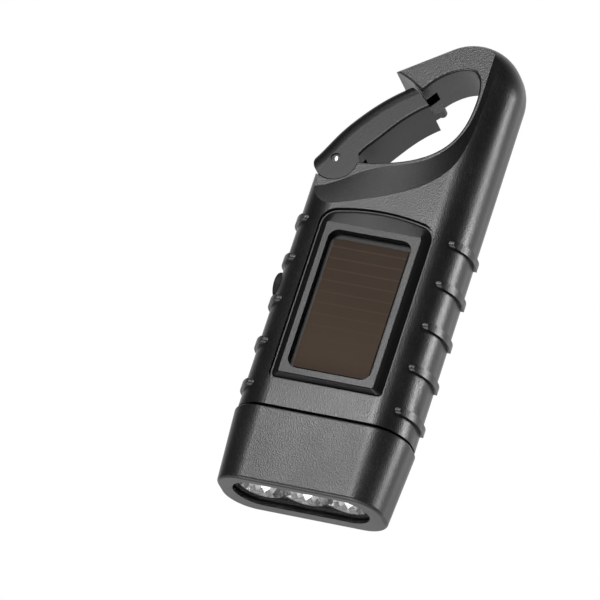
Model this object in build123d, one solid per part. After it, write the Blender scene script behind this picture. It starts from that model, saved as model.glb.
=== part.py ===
from build123d import *
from math import acos, atan2, cos, degrees, hypot, pi, radians, sin, sqrt, tan
import os

# Hand crank flashlight with a solar panel, a carabiner hook and a folding crank.
# Millimetres. The lamp end rests on z = 0, the hook is at the top, the panel faces -Y.
# The pieces are drawn about the casing's middle plane, y = 0, and moved in Y as they are written,
# so that the whole object, crank included, is centred on the origin.

# ---- casing: its outline, seen from the front ------------------------------------------------
half_width = 24.8           # middle to side of the body
half_depth = 11.5           # middle to front or back of the body
edge_round = 10.2           # rounding of the body's long edges
body_base = 22.0            # lower end of the body, above the head cover
overall_height = 138.8      # lamp end to the top of the hook
top_arc_r = 14.3            # outer curve at the top of the hook
shoulder_arc_r = 14.0       # outer curve over the gate's hinge
top_slant = 34.7            # degrees, fall of the hook's upper left run
tip_reach = 15.8            # length of that run
hook_half_depth = 8.0       # middle to the hook's flat faces
parting_y = 2.5             # plane in which the two shells meet
wall = 2.0
inner_front_y = -8.6        # front of the body's cavity
inner_back_y = 9.4          # back of the body's cavity
side_wall = 2.2             # casing wall at the sides of the cavity
inner_top = 84.0
inner_round = 7.8

# ---- hinge of the gate -----------------------------------------------------------------------
pin_inset = 5.8             # side of the body to the hinge pin
pin_rise = 13.1             # top of the cavity up to the hinge pin
pin_r = 1.0
heel_r = 6.3                # round heel of the gate
heel_gap = 0.4
tip_inset = 2.5             # end of the hook's tip to the gate's tip, along the gate
tip_gap = 0.8
gate_half_depth = 7.6
gate_round = 4.6
gate_outer_turn, gate_inner_turn = -11.5, -31.0     # degrees, from the hook's tip to the gate's
gate_outer_shares = ((0.299, 33.1), (0.511, 8.5), (0.743, -3.0))    # shares of tip_r, degrees
gate_inner_shares = ((0.658, -31.2), (0.399, -37.6))
nub_turn = -29.0            # degrees, from the hook's tip to the latch nub
nub_r, nub_out, nub_neck = 1.3, 2.5, 1.6
neck_root = 1.7             # depth of the nub's neck in the gate's tip
notch_play = 0.6            # room round the nub in the hook's notch
facet_end, facet_width = -1.5, 10.07    # degrees from the hook's tip to its facet, and its width
facet_drop = 17.1           # hinge pin down to the lowest point of the crease above the panel
rim_edge = 0.6              # rounding of the hook's and the gate's inner edges
# Points of the hook's inner rim: shares of half_width across, and rises over the pin, shares of the
# height between, and drops from the top.
rim_rises = ((-0.202, 1.1), (0.060, 3.1), (0.282, 6.1), (0.452, 10.5))
rim_sides = ((0.544, 0.289), (0.581, 0.65))
rim_drops = ((0.560, 13.2), (0.480, 9.9), (0.339, 9.8), (0.089, 13.5))
tongue_r = 4.2
pin_recess_r, pin_recess = 1.45, 0.5
gate_swing = 16.0           # degrees, from the open gate drawn here to the closed one
tongue_front_y, tongue_back_y = -2.5, 0.3
fork_half_gap = 2.9
running = 0.05              # radial play of what turns
seated = 0.02               # radial play of what is pressed or glued in

# ---- head ------------------------------------------------------------------------------------
rim_width, rim_depth, rim_round = 47.3, 21.5, 8.6
brow_width, brow_depth, brow_round = 50.4, 23.6, 10.0
neck_gap = 0.7              # dark groove between head cover and body
collar_width, collar_depth, collar_round = 44.4, 19.6, 8.4
collar_wall = 1.6
collar_play = 0.2
lamp_y = -1.0               # middle of the lamp opening
lamp_width, lamp_depth = 39.0, 14.5
lip = 0.8                   # the lens lies this far behind the rim
seat_width, seat_depth = 41.6, 17.0
lens_t, gasket_t, reflector_t, board_t = 1.0, 0.4, 7.4, 1.2
stack_play = 0.02
lens_z = lip + stack_play
gasket_z = lens_z + lens_t + stack_play
reflector_z = gasket_z + gasket_t + stack_play
board_z = reflector_z + reflector_t + stack_play
collar_base = board_z + board_t + stack_play
lamp_pitch = 12.0
cup_mouth_r, cup_waist_r, cup_throat_r = 6.6, 5.3, 2.7
cup_waist, cup_depth = 3.0, 5.4     # mouth to the waist and to the throat of a lamp cup
flange_room_r, flange_room = 3.1, 1.3
lamp_r, lamp_height = 2.5, 2.8
lamp_flange_r, lamp_flange_t = 2.85, 1.1
glue_gap = 0.1                      # round what is laid into the lamp seat

# ---- solar panel -----------------------------------------------------------------------------
insert_half_width = 16.5
insert_base, insert_shoulder, insert_top = 29.5, 80.2, 82.5
insert_floor_y = -10.0
insert_edge_y = -10.6
insert_groove = 0.35
ridge_half_width, ridge_base, ridge_top = 13.5, 31.3, 76.3
ridge_y = -12.9
ridge_step = 0.5
window_half_width, window_base, window_top, window_round = 12.0, 33.0, 74.5, 3.0
window_y, window_t = -12.1, 1.0
cell_half_width, cell_base, cell_top, cell_t = 10.75, 34.1, 72.6, 0.4
backing_t = 0.4
panel_play = 0.1

# ---- ribs on the sides -----------------------------------------------------------------------
rib_heights = (28.0, 40.7, 53.2, 65.7, 77.7)
rib_width, rib_proud = 2.2, 0.9
rib_front_y, rib_back_y = -9.8, 5.5

# ---- gear train ------------------------------------------------------------------------------
module = 0.6
pressure = 25.0
addendum, dedendum = 0.85, 1.1     # in modules
tooth_thinning = 0.12
drive_teeth, pinion_teeth = 42, 12
wheel_1_teeth, wheel_2_teeth, rotor_teeth = 40, 36, 12
crank_x, crank_z = 0.0, 55.0
turn_1, turn_2, turn_rotor = 115.6, -6.0, -98.0   # degrees, direction from each gear to the next
plate_front_y, plate_back_y = -0.2, 1.4
arbor_r = 0.75
wheel_2_y, wheel_1_y, drive_y = 2.2, 4.2, 6.5     # front faces of the wheels
wheel_t, drive_t, pinion_t = 1.6, 2.0, 2.2
hub_r = 1.5
post_r, post_screw_r = 2.3, 0.8
post_inset = 3.1            # side of the cavity to the outermost post

# ---- generator -------------------------------------------------------------------------------
can_r, can_front_y, can_wall = 11.0, -7.9, 0.7
magnet_r, magnet_gap = 7.0, 0.6

# ---- crank -----------------------------------------------------------------------------------
boss_r, boss_y = 17.0, 12.3
shaft_r, bush_wall = 2.95, 1.0
drive_square = 3.8
arm_front_y, arm_back_y = 12.8, 19.4
arm_length = 34.0
arm_hub_r, arm_half_width = 10.0, 7.0
arm_edge = 1.2
grip_axis_drop = 30.0       # crank axis down to the grip's hinge
grip_r, grip_length = 3.0, 16.8
stem_r, stem_head_r = 1.2, 2.4
slot_half_width = 3.6
hinge_pin_r = 0.8

# ---- push button -----------------------------------------------------------------------------
button_y, button_z, button_r = -2.2, 59.4, 3.8
button_travel = 1.0
button_proud, button_play = 0.7, 0.15
flange_r, flange_t = 4.4, 0.8

# ---- battery and boards ----------------------------------------------------------------------
cell_r, cell_length, battery_start, battery_z, battery_y = 7.6, 6.0, -14.5, 33.4, 0.4
screw_r, screw_head_r, screw_head_t = 1.0, 2.1, 1.7
screw_boss_r, screw_depth_y = 3.4, -5.5
screw_play, head_play = 0.3, 0.2
low_screw_inset, low_screw_z = 6.3, 28.5
high_screw_inset, high_screw_drop = 5.4, 3.1
hook_screw_inset, hook_screw_rise = 5.8, 14.9
case_head_y, hook_head_y = 8.0, 5.6
board_end_play, board_base, board_top = 2.8, 33.2, 42.0

inner_half_width = half_width - side_wall
pin_x, pin_z = pin_inset - half_width, inner_top + pin_rise
pin = (pin_x, pin_z)
seat_r = heel_r + heel_gap
y_shift = -(arm_back_y + ridge_y) / 2


# ---- helpers ---------------------------------------------------------------------------------
def slab(face, y0, y1):
    """Face drawn as seen from the front (x across, z up), filled from y0 back to y1."""
    return extrude(Plane.XZ.offset(-y0) * face, amount=-(y1 - y0))


def tier(face, z0, z1):
    """Face drawn as seen from above, filled from z0 up to z1."""
    return extrude(Plane.XY.offset(z0) * face, amount=z1 - z0)


def rod_y(spot, radius, y0, y1):
    return slab(Pos(*spot) * Circle(radius), y0, y1)


def rod_x(y, z, radius, x0, x1):
    return extrude(Plane.YZ.offset(x0) * (Pos(y, z) * Circle(radius)), amount=x1 - x0)


def block(x0, x1, y0, y1, z0, z1):
    return Pos((x0 + x1) / 2, (y0 + y1) / 2, (z0 + z1) / 2) * Box(x1 - x0, y1 - y0, z1 - z0)


def rect(x0, x1, z0, z1, round_r=0.0):
    shape = RectangleRounded(x1 - x0, z1 - z0, round_r) if round_r else Rectangle(x1 - x0, z1 - z0)
    return Pos((x0 + x1) / 2, (z0 + z1) / 2) * shape


def polar(centre, radius, angle):
    """Point at this distance and direction, in degrees from +x towards +z."""
    return (centre[0] + radius * cos(radians(angle)), centre[1] + radius * sin(radians(angle)))


def write(name, shape):
    export_step(Pos(0, y_shift, 0) * shape, f"parts/{name}.step")


# ---- casing ----------------------------------------------------------------------------------
arc_centre = (half_width - top_arc_r, overall_height - top_arc_r)
run_start = polar(arc_centre, top_arc_r, 90 + top_slant)
hook_tip = polar(run_start, tip_reach, 180 + top_slant)
lean = degrees(atan2(hook_tip[1] - pin_z, hook_tip[0] - pin_x))
tip_r = hypot(hook_tip[0] - pin_x, hook_tip[1] - pin_z) - tip_inset
facet_r = tip_r + tip_gap
facet_to = lean + facet_end
facet_from = facet_to - degrees(facet_width / facet_r)
nub_reach, nub_angle = tip_r + nub_out, lean + nub_turn


def pillow_outline():
    """The whole outer outline, as if the gate's mouth were filled."""
    corner_z = run_start[1] - (run_start[0] + half_width) * tan(radians(top_slant))
    corner = (-half_width, corner_z)
    outline = make_face(
        Wire([
            Line((-half_width, body_base), corner),
            Line(corner, run_start),
            ThreePointArc(run_start, polar(arc_centre, top_arc_r, 60), (half_width, arc_centre[1])),
            Line((half_width, arc_centre[1]), (half_width, body_base)),
            Line((half_width, body_base), (-half_width, body_base)),
        ])
    )
    sharp = outline.vertices().sort_by_distance((*corner, 0))[0]
    return fillet(sharp, shoulder_arc_r)


def mouth():
    """The hook's opening: the seat of the gate's heel, the inner rim and the tip's facet."""
    far = -2 * half_width
    seat_left = (-half_width, pin_z - sqrt(seat_r**2 - (half_width + pin_x) ** 2))
    seat_right = (pin_x + seat_r, pin_z)
    facet_inner, facet_outer = polar(pin, facet_r, facet_from), polar(pin, facet_r, facet_to)
    beyond = polar(hook_tip, edge_round * 2, 90 + top_slant)
    low = [(half_width * across, pin_z + rise) for across, rise in rim_rises]
    high = [(half_width * across, overall_height - drop) for across, drop in rim_drops]
    height = high[0][1] - low[-1][1]
    side = [(half_width * across, low[-1][1] + height * up) for across, up in rim_sides]
    rim = Spline(seat_right, *low, *side, *high, facet_inner, tangents=[(1, 0.02), (-0.6, -0.8)])
    return make_face(
        Wire([
            Line((far, seat_left[1]), seat_left),
            ThreePointArc(seat_left, polar(pin, seat_r, 270), seat_right),
            rim,
            ThreePointArc(facet_inner, polar(pin, facet_r, (facet_from + facet_to) / 2), facet_outer),
            Line(facet_outer, hook_tip),
            Line(hook_tip, beyond),
            Line(beyond, (far, beyond[1])),
            Line((far, beyond[1]), (far, seat_left[1])),
        ])
    )


def is_long_edge(edge):
    """True for the front and back edges of the pillow, but not those at its flat base."""
    middle = edge @ 0.5
    return abs(abs(middle.Y) - half_depth) < 0.01 and middle.Z > body_base + 0.01


def is_rim_edge(edge):
    """True for the edges on the hook's flat faces that meet at the inner corner of its tip."""
    corner = polar(pin, facet_r, facet_from)
    on_flat = abs(abs((edge @ 0.5).Y) - hook_half_depth) < 0.01
    ends = [edge @ 0, edge @ 1]
    return on_flat and any(abs(end.X - corner[0]) + abs(end.Z - corner[1]) < 0.01 for end in ends)


def facet_cutter():
    """What the smooth hollow above the body's front takes away, from its crease to the hook."""
    left, over = -1.6 * half_width, overall_height + 20

    def curve_through(*shares):
        points = [(half_width * across, pin_z + facet_drop * up) for across, up in shares]
        return Spline(*points, (points[-1][0], over), tangents=[(1, 0), (0, 1)])

    crease = curve_through(
        (-1.6, -1.0), (-0.766, -0.977), (-0.331, -0.836), (0.121, -0.591), (0.480, -0.251),
        (0.677, 0.158), (0.750, 0.754), (0.790, 1.456),
    )
    floor = curve_through(
        (-1.6, -0.560), (-0.766, -0.480), (-0.323, -0.088), (0.056, 0.105), (0.331, 0.322),
        (0.492, 0.596), (0.585, 0.906), (0.625, 1.298), (0.629, 1.700),
    )

    def face(curve):
        return make_face(Wire([curve, Line(curve @ 1, (left, over)), Line((left, over), curve @ 0)]))

    crease_y = half_depth + 0.5
    slope = loft([Plane.XZ.offset(hook_half_depth) * face(floor),
                  Plane.XZ.offset(crease_y) * face(crease)], ruled=True)
    return slope + slab(face(crease), -crease_y - 10, -crease_y)


def casing_form():
    solid = slab(pillow_outline(), -half_depth, half_depth)
    solid = fillet(solid.edges().filter_by(is_long_edge), edge_round)
    cutter = facet_cutter()
    solid -= cutter + mirror(cutter, Plane.XZ)
    solid -= slab(mouth(), -2 * half_depth, 2 * half_depth)
    return fillet(solid.edges().filter_by(is_rim_edge), rim_edge)


def ribs():
    """Rounded bars that wrap round both sides."""
    outer = RectangleRounded(
        2 * (half_width + rib_proud), 2 * (half_depth + rib_proud), edge_round + rib_proud
    )
    core = RectangleRounded(2 * (half_width - 1), 2 * (half_depth - 1), edge_round - 1)
    bars = Part()
    for height in rib_heights:
        band = tier(outer - core, height - rib_width, height + rib_width)
        middle = Pos((rib_front_y + rib_back_y) / 2, height)
        side = middle * SlotOverall(rib_back_y - rib_front_y, rib_width)
        bars += band & extrude(Plane.YZ * side, amount=half_width + 5, both=True)
    return bars


def collar():
    return tier(RectangleRounded(collar_width, collar_depth, collar_round), collar_base, body_base + 1)


def cavity():
    """Room inside the body, and the way down through the collar."""
    inner = RectangleRounded(2 * inner_half_width, inner_back_y - inner_front_y, inner_round)
    room = Pos(0, (inner_front_y + inner_back_y) / 2) * inner
    way = RectangleRounded(
        collar_width - 2 * collar_wall, collar_depth - 2 * collar_wall, collar_round - collar_wall
    )
    floor_z = body_base + wall
    return tier(room, floor_z, inner_top) + tier(way, collar_base - 1, floor_z + 1)


def screw(spot, head_y, length, shank_r, head_r, head_t):
    """Cross-head screw, driven from the back."""
    shape = rod_y(spot, shank_r, head_y - length, head_y) + rod_y(spot, head_r, head_y, head_y + head_t)
    arm = Pos(*spot) * Rectangle(1.5 * head_r, head_r / 3.5)
    cross = arm + Pos(*spot) * Rectangle(head_r / 3.5, 1.5 * head_r)
    return shape - slab(cross, head_y + head_t / 2, head_y + 2 * head_t)


def insert_outline(inset):
    """Outline of the solar insert: straight sides, an arched top."""
    side, base = insert_half_width - inset, insert_base + inset
    shoulder, top = insert_shoulder - inset, insert_top - inset
    face = make_face(
        Wire([
            Line((-side, base), (side, base)),
            Line((side, base), (side, shoulder)),
            ThreePointArc((side, shoulder), (0, top), (-side, shoulder)),
            Line((-side, shoulder), (-side, base)),
        ])
    )
    lower, upper = face.vertices().group_by(Axis.Y)[0], face.vertices().group_by(Axis.Y)[-1]
    face = fillet(upper, 5.0 - inset)
    lower = face.vertices().group_by(Axis.Y)[0]
    return fillet(lower, 2.0 - inset)


def battery_cradle():
    """Two plates on the front shell that the battery lies in."""
    plates = Part()
    sleeve_r = cell_r + 0.45
    for x in (battery_start + 3, battery_start + 3 * cell_length - 3):
        plates += block(x - 0.6, x + 0.6, inner_front_y - 0.4, -2, body_base + wall - 0.5, battery_z + 8)
    return plates - rod_x(battery_y, battery_z, sleeve_r + seated, -30, 30)


def gate_tongue():
    face = Pos(*pin) * Circle(tongue_r)
    face += rect(pin_x - tongue_r, pin_x + tongue_r, pin_z - heel_r - 2 * wall, pin_z)
    return slab(face, tongue_front_y, tongue_back_y) - rod_y(pin, pin_r + seated, -20, 20)


def latch_notch():
    """Hollow in the hook's tip that the gate's nub swings into."""
    low_r, high_r = facet_r - 1, nub_reach + nub_r + notch_play
    near = nub_angle + 4
    far = nub_angle + gate_swing + degrees((nub_r + notch_play) / nub_reach)
    middle = (near + far) / 2
    face = make_face(
        Wire([
            Line(polar(pin, low_r, near), polar(pin, high_r, near)),
            ThreePointArc(*[polar(pin, high_r, angle) for angle in (near, middle, far)]),
            Line(polar(pin, high_r, far), polar(pin, low_r, far)),
            ThreePointArc(*[polar(pin, low_r, angle) for angle in (far, middle, near)]),
        ])
    )
    return slab(face, -nub_neck - notch_play, nub_neck + notch_play)


def shell_halves():
    """Front and back shell, which meet in the parting plane."""
    form = casing_form()
    hollow = (form + ribs() + collar()) - cavity() - latch_notch()
    everything = rect(-100, 100, -50, 200)
    front = hollow & slab(everything, -50, parting_y)
    back = hollow & slab(everything, parting_y, 50)

    front_bosses = Part() + [rod_y(s, screw_boss_r, inner_front_y - 2, parting_y) for s in case_screw_spots]
    front_bosses += [rod_y(s, post_r, inner_front_y - 2, plate_front_y) for s in plate_posts]
    front_bosses += [rod_y(s, 1.3, inner_front_y - 2, circuit_y) for s in circuit_posts]
    front += front_bosses & form
    front += battery_cradle() + gate_tongue()
    for spot in case_screw_spots + (hook_screw_spot,):
        front -= rod_y(spot, screw_r + seated, screw_depth_y, parting_y + 1)
    for spot in plate_posts:
        front -= rod_y(spot, post_screw_r + seated, screw_depth_y, 0)
    front -= slab(insert_outline(0), -30, insert_floor_y)
    front -= rod_x(button_y, button_z, button_r + button_play, -2 * half_width, 2 - half_width + wall)
    front -= rod_x(button_y, button_z, flange_r + button_play, button_seat_x, button_seat_x + 4)

    back_bosses = Part() + [rod_y(s, screw_boss_r, parting_y, inner_back_y + 1) for s in case_screw_spots]
    back += back_bosses & form
    back += chamfer(
        rod_y((crank_x, crank_z), boss_r, inner_back_y + 0.5, boss_y).edges().sort_by(Axis.Y)[-1:], 0.5
    )
    bush_r = shaft_r + running + bush_wall
    back -= rod_y((crank_x, crank_z), bush_r + seated, 0, 30)
    for spot in case_screw_spots:
        back -= rod_y(spot, screw_r + screw_play, 0, 30)
        back -= rod_y(spot, screw_head_r + head_play, case_head_y, 30)
    back -= rod_y(hook_screw_spot, screw_r + screw_play, 0, 30)
    back -= rod_y(hook_screw_spot, screw_head_r + head_play, hook_head_y, 30)
    for spot in (spot_1, spot_2):
        back -= rod_y(spot, arbor_r + seated, inner_back_y - 1, inner_back_y + 1.1)
    return front, back


def case_screws():
    screws = [screw(s, case_head_y + seated, 12, screw_r, screw_head_r, screw_head_t) for s in case_screw_spots]
    screws.append(screw(hook_screw_spot, hook_head_y + seated, 9, screw_r, screw_head_r, screw_head_t))
    return Part() + screws


# ---- head ------------------------------------------------------------------------------------
def lamp_slot(width, depth):
    return Pos(0, lamp_y) * SlotOverall(width, depth)


def head_cover():
    top = body_base - neck_gap
    solid = loft([
        Plane.XY * RectangleRounded(rim_width, rim_depth, rim_round),
        Plane.XY.offset(top) * RectangleRounded(brow_width, brow_depth, brow_round),
    ])
    solid = fillet(solid.faces().sort_by(Axis.Z)[0].edges(), 0.9)
    solid = fillet(solid.faces().sort_by(Axis.Z)[-1].edges(), 0.6)
    solid -= tier(lamp_slot(lamp_width, lamp_depth), -1, lip + 1)
    solid -= tier(lamp_slot(seat_width, seat_depth), lip, collar_base + 1)
    play = collar_play
    pocket = RectangleRounded(collar_width + 2 * play, collar_depth + 2 * play, collar_round + play)
    return solid - tier(pocket, collar_base - stack_play, top + 1)


def seated_slot():
    return lamp_slot(seat_width - 2 * glue_gap, seat_depth - 2 * glue_gap)


def lens():
    return tier(seated_slot(), lens_z, lens_z + lens_t)


def lens_gasket():
    ring = seated_slot() - lamp_slot(lamp_width - 4 * glue_gap, lamp_depth - 4 * glue_gap)
    return tier(ring, gasket_z, gasket_z + gasket_t)


def lamp_spots():
    return [(-lamp_pitch, lamp_y), (0, lamp_y), (lamp_pitch, lamp_y)]


def reflector():
    """Moulded block with three bright cups."""
    solid = tier(seated_slot(), reflector_z, board_z - stack_play)
    throat_z, room_z = reflector_z + cup_depth, board_z - flange_room
    curve = ThreePointArc(
        (cup_mouth_r, reflector_z), (cup_waist_r, reflector_z + cup_waist), (cup_throat_r, throat_z)
    )
    profile = make_face(
        Wire([
            Line((0, reflector_z - 1), (cup_mouth_r, reflector_z - 1)),
            Line((cup_mouth_r, reflector_z - 1), (cup_mouth_r, reflector_z)),
            curve,
            Line((cup_throat_r, throat_z), (cup_throat_r, room_z)),
            Line((cup_throat_r, room_z), (flange_room_r, room_z)),
            Line((flange_room_r, room_z), (flange_room_r, board_z + 1)),
            Line((flange_room_r, board_z + 1), (0, board_z + 1)),
            Line((0, board_z + 1), (0, reflector_z - 1)),
        ])
    )
    cup = revolve(Plane.XZ * profile, Axis.Z)
    for spot in lamp_spots():
        solid -= Pos(*spot, 0) * cup
    return solid


def lamp(spot):
    """Clear domed lamp with its flange on the board."""
    solid = tier(Circle(lamp_flange_r), board_z - lamp_flange_t, board_z)
    solid += tier(Circle(lamp_r), board_z - lamp_height, board_z)
    return Pos(*spot, 0) * (solid + Pos(0, 0, board_z - lamp_height) * Sphere(lamp_r))


def led_board():
    board = lamp_slot(seat_width - 6 * glue_gap, seat_depth - 6 * glue_gap)
    return tier(board, board_z, board_z + board_t)


# ---- solar panel -----------------------------------------------------------------------------
def solar_frame():
    slope_back, slope_front = insert_edge_y, ridge_y + ridge_step
    ridge = rect(-ridge_half_width, ridge_half_width, ridge_base, ridge_top, 0.5)
    solid = slab(insert_outline(insert_groove), insert_edge_y, insert_floor_y)
    solid += loft([
        Plane.XZ.offset(-slope_back) * insert_outline(insert_groove + 0.3),
        Plane.XZ.offset(-slope_front) * ridge,
    ])
    solid += slab(ridge, ridge_y, slope_front)
    return solid - slab(window_face(0), ridge_y - 1, 0)


def window_face(inset):
    side = window_half_width - inset
    return rect(-side, side, window_base + inset, window_top - inset, window_round - inset)


def solar_window():
    return slab(window_face(panel_play), window_y, cell_front_y)


def solar_cell():
    return slab(rect(-cell_half_width, cell_half_width, cell_base, cell_top), cell_front_y, cell_back_y)


def solar_backing():
    return slab(window_face(panel_play), cell_back_y, insert_floor_y)


# ---- hook's gate -----------------------------------------------------------------------------
def long_edges(solid, middle):
    """The two edges, on the gate's front and back faces, that pass this point of its outline."""
    flat = ShapeList([edge for edge in solid.edges() if abs(abs((edge @ 0.5).Y) - gate_half_depth) < 0.01])
    return [flat.sort_by_distance((middle.X, y, middle.Y))[0] for y in (-gate_half_depth, gate_half_depth)]


def gate():
    """Sprung arm of the hook, drawn open by gate_swing."""
    leave, join = polar(pin, heel_r, 165), polar(pin, heel_r, 17)
    outer_end, inner_end = lean + gate_outer_turn, lean + gate_inner_turn
    tip_outer, tip_inner = polar(pin, tip_r, outer_end), polar(pin, tip_r, inner_end)
    outer_points = [polar(pin, tip_r * share, lean + turn) for share, turn in gate_outer_shares]
    inner_points = [polar(pin, tip_r * share, lean + turn) for share, turn in gate_inner_shares]
    outer = Spline(leave, *outer_points, tip_outer, tangents=[(0.5, 0.87), (0.8, 0.6)])
    inner = Spline(tip_inner, *inner_points, join, tangents=[(-0.85, -0.6), (-0.3, -0.95)])
    face = make_face(
        Wire([
            outer,
            ThreePointArc(tip_outer, polar(pin, tip_r, (outer_end + inner_end) / 2), tip_inner),
            inner,
            ThreePointArc(join, polar(pin, heel_r, 270), leave),
        ])
    )
    solid = slab(face, -gate_half_depth, gate_half_depth)
    for curve, radius in ((inner, rim_edge), (outer, gate_round)):
        solid = fillet(long_edges(solid, curve @ 0.5), radius)
    bulb = polar(pin, nub_reach, nub_angle)
    neck_length = nub_reach - tip_r + neck_root
    neck = Pos(*polar(pin, nub_reach - neck_length / 2, nub_angle)) * Rot(0, 0, nub_angle)
    neck *= Rectangle(neck_length, nub_neck)
    solid += slab(Pos(*bulb) * Circle(nub_r) + neck, -nub_neck, nub_neck)
    solid -= rod_y(pin, heel_r + 1, -fork_half_gap, fork_half_gap)
    solid -= rod_y(pin, pin_r + running, -20, 20)
    for y0, y1 in ((-20, -pin_half_length), (pin_half_length, 20)):
        solid -= rod_y(pin, pin_recess_r, y0, y1)
    return solid


def gate_pin():
    return rod_y(pin, pin_r, -pin_half_length, pin_half_length)


def gate_spring():
    """Coil of square wire on the pin beside the tongue, with two straight legs."""
    wire, coil_radius, pitch, turns = 0.4, 2.0, 0.85, 2
    across = (1, 0, 0)
    path = Helix(pitch=pitch, height=pitch * turns, radius=coil_radius)
    section = Plane(origin=path @ 0, z_dir=path % 0, x_dir=across) * Rectangle(wire, wire)
    solid = sweep(section, path=path)
    leg = Rectangle(0.9 * wire, 0.9 * wire)
    for end, way in ((path @ 0, -(path % 0)), (path @ 1, path % 1)):
        solid += extrude(Plane(origin=end - way * 0.1, z_dir=way, x_dir=across) * leg, amount=3.6)
    return Pos(pin_x, tongue_back_y + 0.45, pin_z) * Rot(-90, 0, 0) * solid


# ---- gear train ------------------------------------------------------------------------------
def gear_face(teeth, phase):
    """Involute teeth, the first centred at this phase in degrees."""
    pitch_r = module * teeth / 2
    base_r = pitch_r * cos(radians(pressure))
    root_r, outer_r = pitch_r - dedendum * module, pitch_r + addendum * module

    def involute(angle):
        return tan(angle) - angle

    def half_tooth(radius):
        spread = involute(radians(pressure)) - involute(acos(min(1.0, base_r / radius)))
        return degrees(pi / (2 * teeth) + spread - tooth_thinning / 2 / pitch_r)

    step, edges = 360 / teeth, []
    mid_r = (max(root_r, base_r) + outer_r) / 2
    for tooth in range(teeth):
        axis = phase + tooth * step
        start, end = axis - half_tooth(root_r), axis + half_tooth(root_r)
        tip_half, mid_half = half_tooth(outer_r), half_tooth(mid_r)
        foot, head = polar((0, 0), root_r, start), polar((0, 0), outer_r, axis - tip_half)
        head_2, foot_2 = polar((0, 0), outer_r, axis + tip_half), polar((0, 0), root_r, end)
        next_foot = polar((0, 0), root_r, start + step)
        edges += [
            ThreePointArc(foot, polar((0, 0), mid_r, axis - mid_half), head),
            ThreePointArc(head, polar((0, 0), outer_r, axis), head_2),
            ThreePointArc(head_2, polar((0, 0), mid_r, axis + mid_half), foot_2),
            ThreePointArc(foot_2, polar((0, 0), root_r, (end + start + step) / 2), next_foot),
        ]
    return make_face(Wire(edges))


def mesh_phase(phase, teeth, direction, next_teeth):
    """Phase of the next gear, this way from here, that puts a gap opposite each tooth."""
    step, next_step = 360 / teeth, 360 / next_teeth
    return direction + 180 + ((direction - phase) / step + 0.5) * next_step


def compound_gear(spot, wheel_teeth, wheel_y, pinion_phase, pinion_y, start_y, end_y):
    solid = slab(Pos(*spot) * gear_face(wheel_teeth, 0), wheel_y, wheel_y + wheel_t)
    solid += slab(Pos(*spot) * gear_face(pinion_teeth, pinion_phase), pinion_y, pinion_y + pinion_t)
    solid += rod_y(spot, hub_r, start_y, end_y)
    return solid - rod_y(spot, arbor_r + running, -20, 20)


def gear_plate():
    """Plate on three posts that carries the arbors and the generator."""
    rounds = [Pos(*spot) * Circle(post_r + 0.5) for spot in plate_posts]
    rounds += [Pos(*spot_rotor) * Circle(6), Pos(*spot_1) * Circle(3)]
    face = make_hull([edge for shape in rounds for edge in shape.edges()])
    solid = slab(face, plate_front_y, plate_back_y)
    for spot in plate_posts:
        solid -= rod_y(spot, post_screw_r + seated, -5, 5)
    for spot in (spot_1, spot_2):
        solid -= rod_y(spot, arbor_r + seated, -5, 5)
    return solid - rod_y(spot_rotor, arbor_r + running, -5, 5)


def gear_plate_screws():
    return Part() + [screw(s, plate_back_y, 6, post_screw_r, 1.7, 0.55) for s in plate_posts]


def arbor(spot):
    return rod_y(spot, arbor_r, plate_front_y, inner_back_y + 1)


def generator_can():
    solid = rod_y(spot_rotor, can_r, can_front_y, plate_front_y)
    solid -= rod_y(spot_rotor, can_r - can_wall, can_front_y + can_wall, plate_front_y - can_wall)
    solid -= rod_y(spot_rotor, arbor_r + running, -20, -4)
    return solid - rod_y(spot_rotor, 1.6, -4, 5)


def generator_coil():
    outer = can_r - can_wall - seated
    ring = Pos(*spot_rotor) * (Circle(outer) - Circle(magnet_r + magnet_gap))
    return slab(ring, can_front_y + can_wall + seated, plate_front_y - can_wall - seated)


def rotor_shaft():
    return rod_y(spot_rotor, arbor_r, can_front_y + 0.1, wheel_2_y + pinion_t)


def rotor_pinion():
    phase = mesh_phase(0, wheel_2_teeth, turn_rotor, rotor_teeth)
    solid = slab(Pos(*spot_rotor) * gear_face(rotor_teeth, phase), wheel_2_y - 0.2, wheel_2_y + wheel_t + 0.2)
    return solid - rod_y(spot_rotor, arbor_r, -5, 9)


def rotor_magnet():
    solid = rod_y(spot_rotor, magnet_r, can_front_y + can_wall + 0.8, plate_front_y - can_wall - 0.8)
    return solid - rod_y(spot_rotor, arbor_r, -20, 5)


# ---- crank -----------------------------------------------------------------------------------
def drive_gear():
    solid = slab(Pos(crank_x, crank_z) * gear_face(drive_teeth, 0), drive_y, drive_y + drive_t)
    return solid - rod_y((crank_x, crank_z), shaft_r, 0, 20)


def crank_bush():
    outer = shaft_r + running + bush_wall
    solid = rod_y((crank_x, crank_z), outer, inner_back_y, boss_y)
    solid += rod_y((crank_x, crank_z), outer + 1.2, drive_y + drive_t + 0.2, inner_back_y)
    return solid - rod_y((crank_x, crank_z), shaft_r + running, 0, 30)


def crank_shaft():
    axis = (crank_x, crank_z)
    solid = rod_y(axis, shaft_r, drive_y, square_front_y)
    solid += rod_y(axis, shaft_r + 0.7, drive_y - 0.5, drive_y)
    solid += slab(Pos(*axis) * Rectangle(drive_square, drive_square), square_front_y, square_back_y)
    return solid - rod_y(axis, screw_r, square_back_y - 7, 30)


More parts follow.
